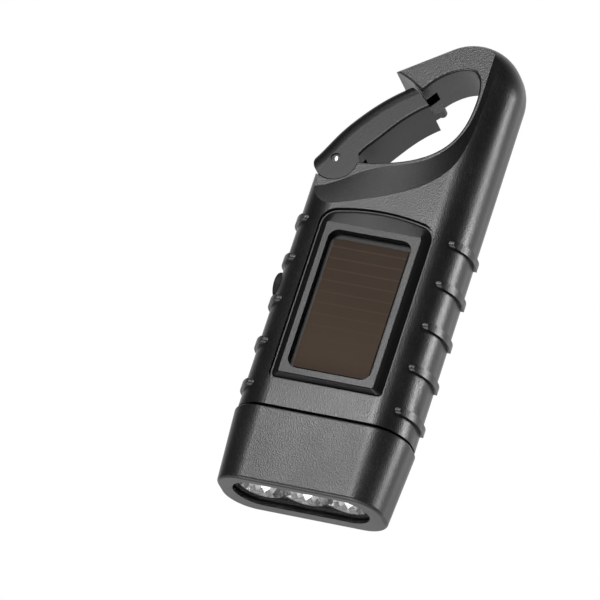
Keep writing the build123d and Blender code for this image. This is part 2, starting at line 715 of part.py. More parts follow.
def crank_arm():
    """Lever behind the body, with the slot that the grip folds into."""
    hub = Pos(crank_x, crank_z) * Circle(arm_hub_r)
    end = Pos(crank_x, crank_z - arm_length + arm_half_width) * Circle(arm_half_width)
    face = make_hull([*hub.edges(), *end.edges()])
    solid = slab(face, arm_front_y, arm_back_y)
    solid = fillet(solid.faces().sort_by(Axis.Y)[-1].edges(), arm_edge)
    slot = rect(-slot_half_width, slot_half_width, hinge_z - grip_r - 0.3, hinge_z + grip_room, 0.8)
    solid -= slab(slot, arm_front_y - 1, arm_back_y + 1)
    axis = (crank_x, crank_z)
    solid -= rod_y(axis, shaft_r + seated, 0, square_front_y)
    side = drive_square + 2 * seated
    solid -= slab(Pos(*axis) * Rectangle(side, side), 0, square_back_y)
    solid -= rod_y(axis, screw_r + 0.3, 0, 30) + rod_y(axis, 2.8, square_back_y + 0.3, 30)
    return solid - rod_x(hinge_y, hinge_z, hinge_pin_r + seated, -5.5, 5.5)


def crank_screw():
    return screw((crank_x, crank_z), square_back_y + 0.3, 7, screw_r, 2.6, 1.5)


def grip_hinge_pin():
    return rod_x(hinge_y, hinge_z, hinge_pin_r, -5.4, 5.4)


def grip_stem():
    """Eye on the hinge pin, with the rod that the grip turns on."""
    head = rod_x(hinge_y, hinge_z, stem_head_r, -slot_half_width + 0.2, slot_half_width - 0.2)
    solid = head + Pos(0, hinge_y) * tier(Circle(stem_r), hinge_z, cap_z)
    solid += Pos(0, hinge_y) * tier(Circle(stem_r + 0.7), cap_z, cap_z + 0.8)
    return solid - rod_x(hinge_y, hinge_z, hinge_pin_r + running, -10, 10)


def crank_grip():
    solid = tier(Circle(grip_r), grip_z, grip_z + grip_length)
    solid = fillet(solid.edges().filter_by(GeomType.CIRCLE), 0.8)
    for height in (0.3, 0.5, 0.7):
        z = grip_z + grip_length * height
        groove = Circle(grip_r + 1) - Circle(grip_r - 0.35)
        solid -= tier(groove, z - 0.5, z + 0.5)
    solid -= tier(Circle(stem_r + running), grip_z - 1, grip_z + grip_length + 1)
    solid -= tier(Circle(stem_r + 0.85), cap_z - 0.05, grip_z + grip_length + 1)
    return Pos(0, hinge_y) * solid


# ---- button, battery and boards ---------------------------------------------------------------
def button():
    out_x = -(half_width + button_proud)
    cap = rod_x(button_y, button_z, button_r, out_x, flange_x)
    cap = fillet(cap.edges().filter_by(GeomType.CIRCLE).sort_by(Axis.X)[0], 0.6)
    cap += rod_x(button_y, button_z, flange_r, flange_x, flange_x + flange_t)
    return cap + rod_x(button_y, button_z, 1.5, flange_x + flange_t, stem_x)


def switch_body():
    top_x = stem_x + button_travel + 0.05
    solid = rod_x(button_y, button_z, 1.2, top_x, top_x + 0.5)
    return solid + block(top_x + 0.5, switch_board_x, button_y - 2.2, button_y + 2.2, button_z - 2.2, button_z + 2.2)


def switch_board():
    return block(switch_board_x, switch_board_x + 1, -8.1, plate_front_y - 0.2, button_z - 6.5, button_z + 6.5)


def battery_cell(index):
    start = battery_start + index * cell_length
    solid = rod_x(battery_y, battery_z, cell_r, start, start + cell_length - 0.1)
    return fillet(solid.edges().filter_by(GeomType.CIRCLE), 0.5)


def battery_sleeve():
    start, end = battery_start - 0.3, battery_start + 3 * cell_length + 0.2
    tube = rod_x(battery_y, battery_z, cell_r + 0.45, start, end)
    return tube - rod_x(battery_y, battery_z, cell_r + seated, start - 1, end + 1)


def circuit_board():
    return block(board_start, board_end, circuit_y, circuit_y + 1.2, board_base, board_top)


def board_components():
    y = circuit_y + 1.2
    x, z = board_start, board_base
    pieces = [block(x + 1.8, x + 6.3, y, y + 1.4, z + 2.3, z + 6.3)]
    pieces += [block(x + 7.8, x + 9.8, y, y + 0.9, z + rise, z + rise + 1.4) for rise in (1.3, 5.2)]
    return Part() + pieces + rod_y((board_end - 2.2, z + 4.0), 1.9, y, y + 4.2)


# ---- places worked out from the sizes above ---------------------------------------------------
spot_drive = (crank_x, crank_z)
spot_1 = polar(spot_drive, module * (drive_teeth + pinion_teeth) / 2, turn_1)
spot_2 = polar(spot_1, module * (wheel_1_teeth + pinion_teeth) / 2, turn_2)
spot_rotor = polar(spot_2, module * (wheel_2_teeth + rotor_teeth) / 2, turn_rotor)
cell_back_y = insert_floor_y - backing_t
cell_front_y = cell_back_y - cell_t
pin_half_length = gate_half_depth - pin_recess
square_front_y, square_back_y = arm_front_y + 0.6, arm_back_y - 2.4
hinge_y, hinge_z = (arm_front_y + arm_back_y) / 2, crank_z - grip_axis_drop
grip_z = hinge_z + stem_head_r + 0.3
cap_z = grip_z + grip_length - 1.2
grip_room = grip_z - hinge_z + grip_length + 0.8
button_seat_x = -(half_width - wall) + 0.3
flange_x = button_seat_x + 0.1
stem_x = flange_x + flange_t + 0.8
switch_board_x = stem_x + button_travel + 2.4
circuit_y = -6.5
board_start, board_end = inner_half_width - board_end_play - 13.6, inner_half_width - board_end_play
circuit_posts = ((board_start + 2.3, board_top - 1.4), (board_end - 2.3, board_base + 1.4))
low_x, high_x = half_width - low_screw_inset, half_width - high_screw_inset
high_z = inner_top - high_screw_drop
case_screw_spots = ((-low_x, low_screw_z), (low_x, low_screw_z), (-high_x, high_z), (high_x, high_z))
hook_screw_spot = (half_width - hook_screw_inset, pin_z + hook_screw_rise)
plate_posts = (
    (crank_x - 12.5, crank_z + 5.0),
    (crank_x, crank_z + 23.0),
    (inner_half_width - post_inset, crank_z + 11.0),
)


def main():
    os.makedirs("parts", exist_ok=True)
    front, back = shell_halves()
    write("front_shell", front)
    write("back_shell", back)
    write("case_screws", case_screws())
    write("head_cover", head_cover())
    write("lens", lens())
    write("lens_gasket", lens_gasket())
    write("reflector", reflector())
    write("led_board", led_board())
    for number, spot in enumerate(lamp_spots(), 1):
        write(f"led_{number}", lamp(spot))
    write("solar_frame", solar_frame())
    write("solar_window", solar_window())
    write("solar_cell", solar_cell())
    write("solar_backing", solar_backing())
    write("gate", gate())
    write("gate_pin", gate_pin())
    write("gate_spring", gate_spring())
    write("gear_plate", gear_plate())
    write("gear_plate_screws", gear_plate_screws())
    write("arbor_1", arbor(spot_1))
    write("arbor_2", arbor(spot_2))
    first_phase = mesh_phase(0, drive_teeth, turn_1, pinion_teeth)
    second_phase = mesh_phase(0, wheel_1_teeth, turn_2, pinion_teeth)
    sleeve_end = inner_back_y - 0.2
    write("compound_gear_1", compound_gear(
        spot_1, wheel_1_teeth, wheel_1_y, first_phase, drive_y - 0.1, plate_back_y + 0.1, sleeve_end))
    write("compound_gear_2", compound_gear(
        spot_2, wheel_2_teeth, wheel_2_y, second_phase, wheel_1_y - 0.3, plate_back_y + 0.1, sleeve_end))
    write("generator_can", generator_can())
    write("generator_coil", generator_coil())
    write("rotor_shaft", rotor_shaft())
    write("rotor_pinion", rotor_pinion())
    write("rotor_magnet", rotor_magnet())
    write("drive_gear", drive_gear())
    write("crank_bush", crank_bush())
    write("crank_shaft", crank_shaft())
    write("crank_arm", crank_arm())
    write("crank_screw", crank_screw())
    write("grip_hinge_pin", grip_hinge_pin())
    write("grip_stem", grip_stem())
    write("crank_grip", crank_grip())
    write("button", button())
    write("switch_body", switch_body())
    write("switch_board", switch_board())
    for index in range(3):
        write(f"battery_cell_{index + 1}", battery_cell(index))
    write("battery_sleeve", battery_sleeve())
    write("circuit_board", circuit_board())
    write("board_components", board_components())


main()
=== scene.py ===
import math

import bmesh
import bpy
from bpy.props import FloatProperty, FloatVectorProperty, IntProperty, PointerProperty
from mathutils import Matrix, Vector


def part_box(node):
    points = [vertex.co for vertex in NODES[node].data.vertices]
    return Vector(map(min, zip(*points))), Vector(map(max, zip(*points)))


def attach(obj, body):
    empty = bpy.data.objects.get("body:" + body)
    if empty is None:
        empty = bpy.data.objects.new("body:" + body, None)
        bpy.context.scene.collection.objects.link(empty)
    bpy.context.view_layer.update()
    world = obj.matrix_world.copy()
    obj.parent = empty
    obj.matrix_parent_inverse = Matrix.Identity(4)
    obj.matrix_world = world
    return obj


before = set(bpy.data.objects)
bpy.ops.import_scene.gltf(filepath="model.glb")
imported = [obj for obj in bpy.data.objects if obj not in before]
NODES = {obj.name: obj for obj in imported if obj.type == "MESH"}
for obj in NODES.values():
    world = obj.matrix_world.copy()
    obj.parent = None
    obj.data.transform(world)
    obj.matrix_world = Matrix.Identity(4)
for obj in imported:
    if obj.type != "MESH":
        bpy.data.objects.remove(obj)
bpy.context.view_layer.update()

bl_info = {
    "name": "Hand crank flashlight",
    "version": (1, 0, 0),
    "blender": (4, 5, 0),
    "location": "3D View > Sidebar > Flashlight",
    "description": "Dresses the packed hand crank flashlight and sets its stage",
    "category": "Object",
}

MM = 0.001

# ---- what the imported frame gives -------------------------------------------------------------
CELL_LOW, CELL_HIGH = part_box("solar_cell")
REFLECTOR_LOW, REFLECTOR_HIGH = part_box("reflector")
GATE_LOW, GATE_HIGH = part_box("gate")
PIN_LOW, PIN_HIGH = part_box("gate_pin")
GATE_MIDDLE_Y = (GATE_LOW.y + GATE_HIGH.y) / 2
SHELLS_MEET_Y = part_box("front_shell")[1].y

# ---- sizes of the pieces made here -----------------------------------------------------------
FILM_INSET, FILM_GAP, FILM_THICKNESS = 0.1 * MM, 0.01 * MM, 0.05 * MM
PIN_HEAD_R, PIN_HEAD_FLATNESS = 0.85 * MM, 0.3
CASING_SEAM, GATE_SEAM = 0.12 * MM, 0.14 * MM  # half widths of the dark joint lines
LAMP_PITCH = 12 * MM
# Radius and height over the reflector's foot, in mm, of each ring of facets in a lamp cup
CUP_PROFILE = (
    (6.55, 0.0), (6.3, 1.0), (5.85, 2.0), (5.2, 3.0), (4.3, 4.0), (3.3, 4.9), (2.75, 5.35),
)

# ---- stage -----------------------------------------------------------------------------------
LAMPS_AIM = (0.0, 0.0, 0.065)
FLOOR_HALF_WIDTH, FLOOR_TONE, FLOOR_GLOW = 6.0, 0.82, 0.62
# Point of the object that the camera is set from, and how far it lies right of and below the
# middle of the picture
SIGHT_POINT = Vector((0, GATE_MIDDLE_Y - 12 * MM, 53.34 * MM))
SIGHT_RIGHT, SIGHT_DOWN = 13.33 * MM, 1.87 * MM
SENSOR_WIDTH = 36.0


# ---- settings --------------------------------------------------------------------------------
def colour_setting(name, description, default):
    return FloatVectorProperty(
        name=name, description=description, subtype="COLOR", size=3, min=0, max=1, default=default
    )


class FlashlightFinishes(bpy.types.PropertyGroup):
    casing: colour_setting("Casing", "Grained plastic of the shells", (0.008, 0.008, 0.0083))
    head: colour_setting("Head", "Grained plastic of the head cover", (0.01, 0.01, 0.0103))
    gate: colour_setting("Gate", "Satin plastic of the hook's gate", (0.006, 0.0065, 0.006))
    panel_frame: colour_setting(
        "Panel frame", "Satin plastic round the solar cell", (0.007, 0.0073, 0.007)
    )
    cell: colour_setting("Cell", "Film of the solar cell", (0.042, 0.026, 0.016))
    bright: colour_setting("Reflector", "Bright film of the lamp cups", (0.88, 0.88, 0.89))
    gear: colour_setting("Gears", "Plastic of the gear wheels", (0.74, 0.72, 0.64))
    grain: FloatProperty(
        name="Grain", description="Size of one grain of the moulded texture",
        unit="LENGTH", default=0.35 * MM,
    )
    facets: IntProperty(
        name="Facets", description="Facets round one lamp cup", default=18, min=8, max=40
    )


def power_setting(name, description, default):
    return FloatProperty(name=name, description=description, subtype="POWER", default=default)


class FlashlightStage(bpy.types.PropertyGroup):
    azimuth: FloatProperty(name="Azimuth", description="Camera's turn about Z", default=21.0)
    elevation: FloatProperty(name="Elevation", description="Camera's height angle", default=-20.7)
    roll: FloatProperty(
        name="Roll", description="Clockwise lean of the object in the picture", default=18.35
    )
    distance: FloatProperty(
        name="Distance", description="Camera to object", unit="LENGTH", default=2.0
    )
    frame_width: FloatProperty(
        name="Frame width", description="Width of the picture at the object",
        unit="LENGTH", default=0.16,
    )
    ambient: FloatProperty(name="Ambient", description="World light on the object", default=0.03)
    key: power_setting("Key", "Power of the main soft lamp", 3.5)
    side: power_setting("Side", "Power of the right soft lamp", 2.6)
    below: power_setting("Below", "Power of the lamp under the head", 1.8)
    top: power_setting("Top", "Power of the lamp over the hook", 1.0)


# ---- node helpers ----------------------------------------------------------------------------
def add_node(tree, kind, at=(0, 0), inputs=None, **settings):
    node = tree.nodes.new(kind)
    node.location = at
    for name, value in settings.items():
        setattr(node, name, value)
    for name, value in (inputs or {}).items():
        node.inputs[name].default_value = value
    return node


def link(tree, source, target):
    tree.links.new(source, target)


def new_group(name, inputs, outputs):
    group = bpy.data.node_groups.new(name, "ShaderNodeTree")
    for label, kind, default in inputs:
        group.interface.new_socket(label, in_out="INPUT", socket_type=kind).default_value = default
    for label, kind in outputs:
        group.interface.new_socket(label, in_out="OUTPUT", socket_type=kind)
    start = add_node(group, "NodeGroupInput", (-900, 0))
    end = add_node(group, "NodeGroupOutput", (500, 0))
    return group, start, end


def math_node(tree, operation, first, second=None, at=(0, 0), clamp=False):
    node = add_node(tree, "ShaderNodeMath", at, operation=operation, use_clamp=clamp)
    for socket, value in zip(node.inputs, (first, second)):
        if isinstance(value, (int, float)):
            socket.default_value = value
        elif value is not None:
            link(tree, value, socket)
    return node.outputs[0]


def grain_group():
    """Moulded grain: fine pits, light specks (grain tone and painted sparkle), a slower drift in tone
    and an uneven gloss.
    """
    if "Moulded grain" in bpy.data.node_groups:
        return bpy.data.node_groups["Moulded grain"]
    group, start, end = new_group(
        "Moulded grain",
        [
            ("Grains per metre", "NodeSocketFloat", 2400.0),
            ("Drift per metre", "NodeSocketFloat", 60.0),
        ],
        [("Height", "NodeSocketFloat"), ("Tone", "NodeSocketFloat"), ("Gloss", "NodeSocketFloat")],
    )
    place = add_node(group, "ShaderNodeTexCoord", (-900, 300)).outputs["Object"]
    fine = add_node(group, "ShaderNodeTexNoise", (-600, 300), {"Detail": 2.0, "Roughness": 0.7})
    cells = add_node(group, "ShaderNodeTexVoronoi", (-600, 0))
    drift = add_node(group, "ShaderNodeTexNoise", (-600, -300), {"Detail": 3.0})
    for texture in (fine, cells, drift):
        link(group, place, texture.inputs["Vector"])
    link(group, start.outputs["Grains per metre"], fine.inputs["Scale"])
    link(group, start.outputs["Grains per metre"], cells.inputs["Scale"])
    link(group, start.outputs["Drift per metre"], drift.inputs["Scale"])
    height = math_node(group, "ADD", fine.outputs["Fac"], cells.outputs["Distance"], (-300, 200))
    link(group, height, end.inputs["Height"])
    # Light specks of the grain: partly its own random tone, partly painted sparkle for the glints on
    # the grained face.
    speck_and_sparkle = add_node(group, "ShaderNodeMapRange", (-300, 0), {"From Min": 0.48, "From Max": 0.72})
    link(group, fine.outputs["Fac"], speck_and_sparkle.inputs["Value"])
    tone = math_node(group, "MULTIPLY", speck_and_sparkle.outputs["Result"], drift.outputs["Fac"], (-100, 0))
    link(group, math_node(group, "MULTIPLY", tone, 2.0, (100, 0), clamp=True), end.inputs["Tone"])
    link(group, drift.outputs["Fac"], end.inputs["Gloss"])
    return group


def seam_group():
    """Mask that is 1 in a thin plane across Y, where two mouldings meet, and 0 elsewhere."""
    if "Moulding seam" in bpy.data.node_groups:
        return bpy.data.node_groups["Moulding seam"]
    group, start, end = new_group(
        "Moulding seam",
        [("Plane Y", "NodeSocketFloat", 0.0), ("Half width", "NodeSocketFloat", 0.0001)],
        [("Mask", "NodeSocketFloat")],
    )
    place = add_node(group, "ShaderNodeTexCoord", (-900, 300)).outputs["Object"]
    axes = add_node(group, "ShaderNodeSeparateXYZ", (-700, 300))
    link(group, place, axes.inputs["Vector"])
    away = math_node(group, "SUBTRACT", axes.outputs["Y"], start.outputs["Plane Y"], (-500, 200))
    away = math_node(group, "ABSOLUTE", away, None, (-300, 200))
    inside = math_node(group, "LESS_THAN", away, start.outputs["Half width"], (-100, 200))
    link(group, inside, end.inputs["Mask"])
    return group


def add_seam(material, plane_y, half_width):
    """Darkens the base colour in the seam's plane."""
    tree = material.node_tree
    shader = tree.nodes["Principled BSDF"]
    seam = add_node(tree, "ShaderNodeGroup", (-400, 500), node_tree=seam_group())
    seam.inputs["Plane Y"].default_value = plane_y
    seam.inputs["Half width"].default_value = half_width
    mix = add_node(tree, "ShaderNodeMix", (-150, 400), data_type="RGBA")
    mix.inputs["B"].default_value = (0.002, 0.002, 0.002, 1)
    link(tree, seam.outputs["Mask"], mix.inputs["Factor"])
    link(tree, shader.inputs["Base Color"].links[0].from_socket, mix.inputs["A"])
    link(tree, mix.outputs["Result"], shader.inputs["Base Color"])


def cell_lines_group():
    """Masks for the solar cell: a slow ramp along Z for its painted shading, and fine lines across it.
    """
    group, start, end = new_group(
        "Cell lines",
        [
            ("Lines per metre", "NodeSocketFloat", 300.0),
            ("Low Z", "NodeSocketFloat", 0.0),
            ("High Z", "NodeSocketFloat", 0.1),
        ],
        [("Fade", "NodeSocketFloat"), ("Line", "NodeSocketFloat")],
    )
    place = add_node(group, "ShaderNodeTexCoord", (-900, 300)).outputs["Object"]
    axes = add_node(group, "ShaderNodeSeparateXYZ", (-700, 300))
    link(group, place, axes.inputs["Vector"])
    # Ramp for the painted shading: 0 at the cell's foot, 1 at its top.
    painted_shading = add_node(group, "ShaderNodeMapRange", (-400, 300))
    link(group, axes.outputs["Z"], painted_shading.inputs["Value"])
    link(group, start.outputs["Low Z"], painted_shading.inputs["From Min"])
    link(group, start.outputs["High Z"], painted_shading.inputs["From Max"])
    link(group, painted_shading.outputs["Result"], end.inputs["Fade"])
    turns = math_node(group, "MULTIPLY", axes.outputs["Z"], start.outputs["Lines per metre"], (-500, 0))
    part = math_node(group, "FRACT", turns, None, (-300, 0))
    link(group, math_node(group, "LESS_THAN", part, 0.16, (-100, 0)), end.inputs["Line"])
    return group


def new_material(name):
    material = bpy.data.materials.new(name)
    material.use_nodes = True
    tree = material.node_tree
    shader = tree.nodes["Principled BSDF"]
    return material, tree, shader


def plastic(name, colour, roughness, grains, depth, specular=0.35, speck_and_sparkle_lift=1.5, spread=0.08):
    """Moulded plastic: tone, gloss and relief all come from the grain group.

    grains is their number per metre, depth their relief, lift the tone of the palest specks over the
    colour's own (specks that are partly grain tone and partly painted sparkle), and spread how far the
    roughness goes to either side.
    """
    material, tree, shader = new_material(name)
    grain = add_node(tree, "ShaderNodeGroup", (-700, 0), node_tree=grain_group())
    grain.inputs["Grains per metre"].default_value = grains
    # Base colour runs from darker grain to the palest specks; the palest specks are partly painted
    # sparkle.
    tone = add_node(tree, "ShaderNodeMix", (-400, 200), data_type="RGBA")
    tone.inputs["A"].default_value = (*[c * 0.75 for c in colour], 1)
    tone.inputs["B"].default_value = (*[min(1, c * speck_and_sparkle_lift) for c in colour], 1)
    link(tree, grain.outputs["Tone"], tone.inputs["Factor"])
    link(tree, tone.outputs["Result"], shader.inputs["Base Color"])
    roughness_range = {"To Min": roughness - spread, "To Max": roughness + spread}
    gloss = add_node(tree, "ShaderNodeMapRange", (-400, -50), roughness_range)
    link(tree, grain.outputs["Gloss"], gloss.inputs["Value"])
    link(tree, gloss.outputs["Result"], shader.inputs["Roughness"])
    bump = add_node(tree, "ShaderNodeBump", (-400, -300), {"Distance": depth, "Strength": 1.0})
    link(tree, grain.outputs["Height"], bump.inputs["Height"])
    link(tree, bump.outputs["Normal"], shader.inputs["Normal"])
    shader.inputs["Specular IOR Level"].default_value = specular
    return material


def metal(name, colour, roughness):
    material = plastic(name, colour, roughness, 900.0, 0.004 * MM, specular=0.5, speck_and_sparkle_lift=1.15, spread=0.06)
    material.node_tree.nodes["Principled BSDF"].inputs["Metallic"].default_value = 1.0
    return material


def clear(name, colour, roughness, alpha, specular=0.5):
    """Thin clear plastic: mostly see-through, with a faint uneven gloss."""
    material = plastic(name, colour, roughness, 400.0, 0.001 * MM, specular, speck_and_sparkle_lift=1.1, spread=0.03)
    shader = material.node_tree.nodes["Principled BSDF"]
    shader.inputs["Alpha"].default_value = alpha
    return material


def finish_piece(shape, name, material, smooth=False):
    """Makes the bmesh a piece that rides on the casing."""
    bmesh.ops.recalc_face_normals(shape, faces=shape.faces)
    mesh = bpy.data.meshes.new(name)
    shape.to_mesh(mesh)
    shape.free()
    mesh.polygons.foreach_set("use_smooth", [smooth] * len(mesh.polygons))
    mesh.materials.append(material)
    piece = bpy.data.objects.new(name, mesh)
    bpy.context.scene.collection.objects.link(piece)
    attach(piece, "casing")


def dress(node, material):
    slots = NODES[node].data.materials
    if not slots:
        slots.append(material)
    for index in range(len(slots)):
        slots[index] = material


# ---- operators -------------------------------------------------------------------------------
class FLASHLIGHT_OT_casing(bpy.types.Operator):
    """Grained plastic on the shells, head cover, panel frame and crank"""

    bl_idname = "flashlight.casing"
    bl_label = "Casing"

    def execute(self, context):
        finish = context.scene.flashlight_finishes
        grains = 1 / finish.grain
        # The high lift on the shells and head gives the palest grain specks, which are partly painted
        # sparkle.
        shell = plastic(
            "Casing plastic", finish.casing, 0.34, grains, 0.028 * MM, specular=0.5, speck_and_sparkle_lift=3.0
        )
        add_seam(shell, SHELLS_MEET_Y, CASING_SEAM)
        dress("front_shell", shell)
        dress("back_shell", shell)
        head = plastic("Head plastic", finish.head, 0.36, grains, 0.028 * MM, specular=0.5, speck_and_sparkle_lift=3.0)
        dress("head_cover", head)
        dress("solar_frame", plastic("Frame plastic", finish.panel_frame, 0.34, grains, 0.015 * MM))
        crank = plastic("Crank plastic", finish.casing, 0.42, grains, 0.02 * MM)
        for name in ("crank_arm", "crank_grip"):
            dress(name, crank)
        rubber = plastic("Button rubber", finish.casing, 0.6, grains * 0.7, 0.01 * MM, specular=0.25)
        dress("button", rubber)
        return {"FINISHED"}


class FLASHLIGHT_OT_gate(bpy.types.Operator):
    """Satin plastic and a bright pin for the hook's gate"""

    bl_idname = "flashlight.gate"
    bl_label = "Gate"

    def execute(self, context):
        finish = context.scene.flashlight_finishes
        gate = plastic("Gate plastic", finish.gate, 0.36, 1600.0, 0.008 * MM)
        add_seam(gate, SHELLS_MEET_Y, GATE_SEAM)
        dress("gate", gate)
        dress("gate_pin", metal("Pin steel", (0.1, 0.1, 0.1), 0.5))
        bright = metal("Pin head steel", (0.62, 0.62, 0.63), 0.3)
        for side, y in (("front", PIN_LOW.y), ("back", PIN_HIGH.y)):
            self.pin_head(f"pin_head_{side}", y, bright)
        dress("gate_spring", metal("Spring steel", (0.5, 0.5, 0.51), 0.35))
        return {"FINISHED"}

    def pin_head(self, name, y, material):
        """Low dome on the end of the hinge pin."""
        middle = (PIN_LOW + PIN_HIGH) / 2
        shape = bmesh.new()
        bmesh.ops.create_uvsphere(shape, u_segments=32, v_segments=16, radius=PIN_HEAD_R)
        bmesh.ops.scale(shape, vec=(1, PIN_HEAD_FLATNESS, 1), verts=shape.verts)
        bmesh.ops.translate(shape, vec=(middle.x, y, middle.z), verts=shape.verts)
        finish_piece(shape, name, material, smooth=True)


class FLASHLIGHT_OT_lamps(bpy.types.Operator):
    """Lens, seal, lamps, board and bright cups in the head"""

    bl_idname = "flashlight.lamps"
    bl_label = "Lamps"

    def execute(self, context):
        finish = context.scene.flashlight_finishes
        dress("lens", clear("Lens plastic", (0.1, 0.1, 0.1), 0.06, alpha=0.04, specular=0.1))
        dress("lens_gasket", plastic("Seal rubber", (0.02, 0.02, 0.02), 0.6, 1800.0, 0.01 * MM))
        film = metal("Reflector film", finish.bright, 0.24)
        dress("reflector", film)
        for number, x in enumerate((-LAMP_PITCH, 0.0, LAMP_PITCH), 1):
            self.cup(f"lamp_cup_{number}", x, film, finish.facets)
        lamp = clear("Lamp resin", (0.95, 0.95, 0.9), 0.1, alpha=0.45)
        for number in (1, 2, 3):
            dress(f"led_{number}", lamp)
        dress("led_board", plastic("Lamp board", (0.05, 0.2, 0.1), 0.5, 900.0, 0.01 * MM))
        return {"FINISHED"}

    def cup(self, name, x, material, facets):
        """Bright lining of one lamp cup, pressed in flat facets and cut where it meets the next."""
        middle_y = (REFLECTOR_LOW.y + REFLECTOR_HIGH.y) / 2
        shape = bmesh.new()
        rings = []
        for index, (radius, depth) in enumerate(CUP_PROFILE):
            turn = Matrix.Rotation(math.pi / facets * (index % 2), 4, "Z")
            place = Matrix.Translation((x, middle_y, REFLECTOR_LOW.z + depth * MM)) @ turn
            ring = bmesh.ops.create_circle(shape, segments=facets, radius=radius * MM, matrix=place)
            rings.append({edge for vert in ring["verts"] for edge in vert.link_edges})
        for low, high in zip(rings, rings[1:]):
            bmesh.ops.bridge_loops(shape, edges=list(low | high))
        bmesh.ops.triangulate(shape, faces=shape.faces)
        for side in (-1, 1):
            edge_x = x + side * LAMP_PITCH / 2
            bmesh.ops.bisect_plane(
                shape, geom=[*shape.verts, *shape.edges, *shape.faces],
                plane_co=(edge_x, 0, 0), plane_no=(side, 0, 0), clear_outer=abs(edge_x) < LAMP_PITCH,
            )
        finish_piece(shape, name, material)


class FLASHLIGHT_OT_solar_panel(bpy.types.Operator):
    """Cell film, backing and window of the solar panel"""

    bl_idname = "flashlight.solar_panel"
    bl_label = "Solar panel"

    def execute(self, context):
        finish = context.scene.flashlight_finishes
        film = self.film_material(finish)
        dress("solar_cell", film)
        self.cell_film(film)
        dress("solar_backing", plastic("Backing black", (0.008, 0.008, 0.008), 0.5, 900.0, 0.004 * MM))
        window = clear("Window plastic", (0.03, 0.03, 0.03), 0.1, alpha=0.02, specular=0.05)
        dress("solar_window", window)
        return {"FINISHED"}

    def cell_film(self, material):
        """Film in the window's foot, just off the plane where the window meets the cell."""
        size = CELL_HIGH - CELL_LOW
        middle = (CELL_HIGH + CELL_LOW) / 2
        shape = bmesh.new()
        bmesh.ops.create_cube(shape, size=1)
        film_size = (size.x - 2 * FILM_INSET, FILM_THICKNESS, size.z - 2 * FILM_INSET)
        bmesh.ops.scale(shape, vec=film_size, verts=shape.verts)
        film_y = CELL_LOW.y - FILM_GAP - FILM_THICKNESS / 2
        bmesh.ops.translate(shape, vec=(middle.x, film_y, middle.z), verts=shape.verts)
        finish_piece(shape, "cell_film", material)

    def film_material(self, finish):
        """Dark brown film with faint lines across it, lighter low down and darker towards the top:
        painted shading for the fall of light across the front.
        """
        material = plastic("Cell film", finish.cell, 0.5, 700.0, 0.0002 * MM, specular=0.08)
        tree = material.node_tree
        shader = tree.nodes["Principled BSDF"]
        lines = add_node(tree, "ShaderNodeGroup", (-700, 500), node_tree=cell_lines_group())
        lines.inputs["Low Z"].default_value = CELL_LOW.z
        lines.inputs["High Z"].default_value = CELL_HIGH.z
        # Painted shading: the film is lighter at its foot and darker at its top, for the fall of light.
        painted_shading = add_node(tree, "ShaderNodeMix", (-300, 500), data_type="RGBA")
        painted_shading.inputs["A"].default_value = (*[c * 1.25 for c in finish.cell], 1)
        painted_shading.inputs["B"].default_value = (*[c * 0.8 for c in finish.cell], 1)
        link(tree, lines.outputs["Fade"], painted_shading.inputs["Factor"])
        drawn = add_node(tree, "ShaderNodeMix", (-100, 500), data_type="RGBA")
        drawn.inputs["B"].default_value = (*[c * 1.18 for c in finish.cell], 1)
        link(tree, painted_shading.outputs["Result"], drawn.inputs["A"])
        link(tree, lines.outputs["Line"], drawn.inputs["Factor"])
        tree.nodes.remove(shader.inputs["Base Color"].links[0].from_node)
        link(tree, drawn.outputs["Result"], shader.inputs["Base Color"])
        return material


class FLASHLIGHT_OT_works(bpy.types.Operator):
    """Finishes of the gears, generator, battery, boards and screws"""

    bl_idname = "flashlight.works"
    bl_label = "Works"

    def execute(self, context):
        finish = context.scene.flashlight_finishes
        steel = metal("Turned steel", (0.56, 0.56, 0.57), 0.28)
        for name in (
            "case_screws", "gear_plate_screws", "arbor_1", "arbor_2", "crank_screw",
            "grip_hinge_pin", "grip_stem", "rotor_shaft", "generator_can", "gear_plate",
        ):
            dress(name, steel)
        brass = metal("Brass", (0.74, 0.56, 0.27), 0.3)
        for name in ("crank_bush", "crank_shaft", "rotor_pinion"):
            dress(name, brass)
        gears = plastic("Gear plastic", finish.gear, 0.4, 900.0, 0.004 * MM)
        for name in ("drive_gear", "compound_gear_1", "compound_gear_2"):
            dress(name, gears)
        dress("generator_coil", metal("Copper winding", (0.68, 0.3, 0.14), 0.35))
        dress("rotor_magnet", plastic("Magnet", (0.06, 0.06, 0.065), 0.45, 900.0, 0.008 * MM))
        cells = metal("Cell can", (0.66, 0.66, 0.66), 0.3)
        for number in (1, 2, 3):
            dress(f"battery_cell_{number}", cells)
        sleeve = plastic("Sleeve film", (0.03, 0.22, 0.13), 0.3, 500.0, 0.003 * MM, specular=0.5)
        dress("battery_sleeve", sleeve)
        board = plastic("Board coat", (0.03, 0.17, 0.08), 0.35, 900.0, 0.004 * MM)
        for name in ("circuit_board", "switch_board"):
            dress(name, board)
        chips = plastic("Chip black", (0.02, 0.02, 0.02), 0.4, 1200.0, 0.006 * MM)
        for name in ("board_components", "switch_body"):
            dress(name, chips)
        return {"FINISHED"}


def view_axes(stage):
    """Right, up and back directions of the camera for its azimuth, elevation and roll."""
    azimuth, elevation, roll = (math.radians(a) for a in (stage.azimuth, stage.elevation, stage.roll))
    right = Vector((math.cos(azimuth), math.sin(azimuth), 0))
    back = Vector((
        math.sin(azimuth) * math.cos(elevation),
        -math.cos(azimuth) * math.cos(elevation),
        math.sin(elevation),
    ))
    up = back.cross(right)
    turned_right = right * math.cos(roll) + up * math.sin(roll)
    return turned_right, back.cross(turned_right), back


